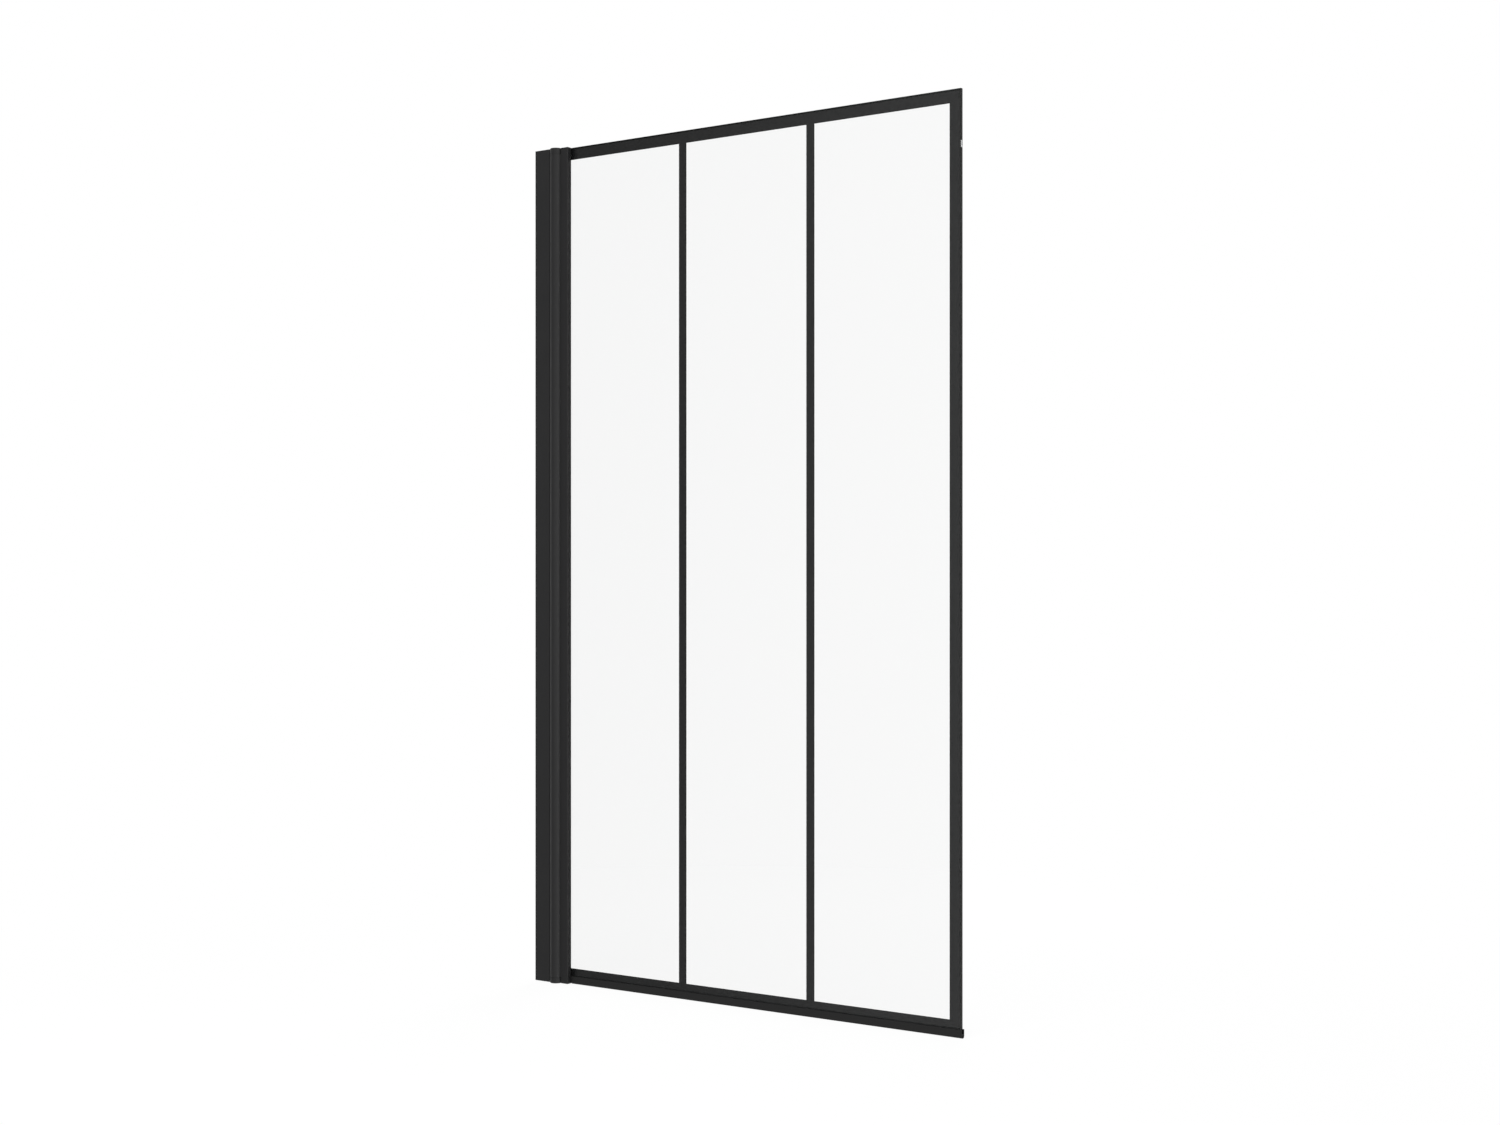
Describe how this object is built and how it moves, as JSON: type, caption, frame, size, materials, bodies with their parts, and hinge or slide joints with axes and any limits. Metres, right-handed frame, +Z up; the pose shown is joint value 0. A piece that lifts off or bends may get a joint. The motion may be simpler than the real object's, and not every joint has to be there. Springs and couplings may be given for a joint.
{
  "type": "bath screen",
  "caption": "Hinged bath screen: clear glass with a black printed grid, in a black clamp profile that swings on a full-height barrel beside a width-adjustable wall channel.",
  "frame": {"origin": "on the wall at the foot of the wall channel, in the middle plane of the glass", "axes": "+X from the wall along the closed screen, -Y towards the room, +Z up"},
  "size_m": [0.802, 0.0407, 1.4011],
  "materials": {
    "powder_black": "fine black powder coat on extruded aluminium",
    "cast_black": "black powder coat on die-cast end blocks",
    "cap_black": "matt black moulded plastic",
    "steel": "plain stainless steel",
    "bush_black": "black acetal bearing bushes",
    "packing_black": "black rubber packing",
    "clear_glass": "clear toughened glass with arrised edges",
    "black_enamel": "fired black enamel print",
    "soft_black": "black flexible PVC"
  },
  "bodies": {
    "wall_frame": {"wall_channel": "powder_black", "channel_top_cap": "cap_black", "channel_bottom_cap": "cap_black"},
    "hinge_stile": {"stile_profile": "powder_black", "upper_hinge_block": "cast_black", "lower_hinge_block": "cast_black", "upper_pivot_pin": "steel", "lower_pivot_pin": "steel", "hinge_block_screws": "steel", "locking_screws": "steel", "locking_washers": "steel", "locking_screw_caps": "cap_black", "hinge_seal": "soft_black"},
    "screen_panel": {"clamp_profile": "powder_black", "upper_pivot_bush": "bush_black", "lower_pivot_bush": "bush_black", "clamp_top_cap": "cap_black", "clamp_bottom_cap": "cap_black", "glass_panel": "clear_glass", "printed_grid": "black_enamel", "front_gasket": "soft_black", "rear_gasket": "soft_black", "glass_edge_pads": "packing_black", "glass_support_block": "packing_black", "bottom_seal": "soft_black"}
  },
  "joints": [
    {"name": "width_adjustment", "type": "slide", "parent": "wall_frame", "child": "hinge_stile", "axis": [1, 0, 0], "range_m": [0, 0.012]},
    {"name": "panel_swing", "type": "hinge", "parent": "hinge_stile", "child": "screen_panel", "pos_m": [0.042, -0.011, 0], "axis": [0, 0, -1], "range_deg": [0, 90]}
  ]
}
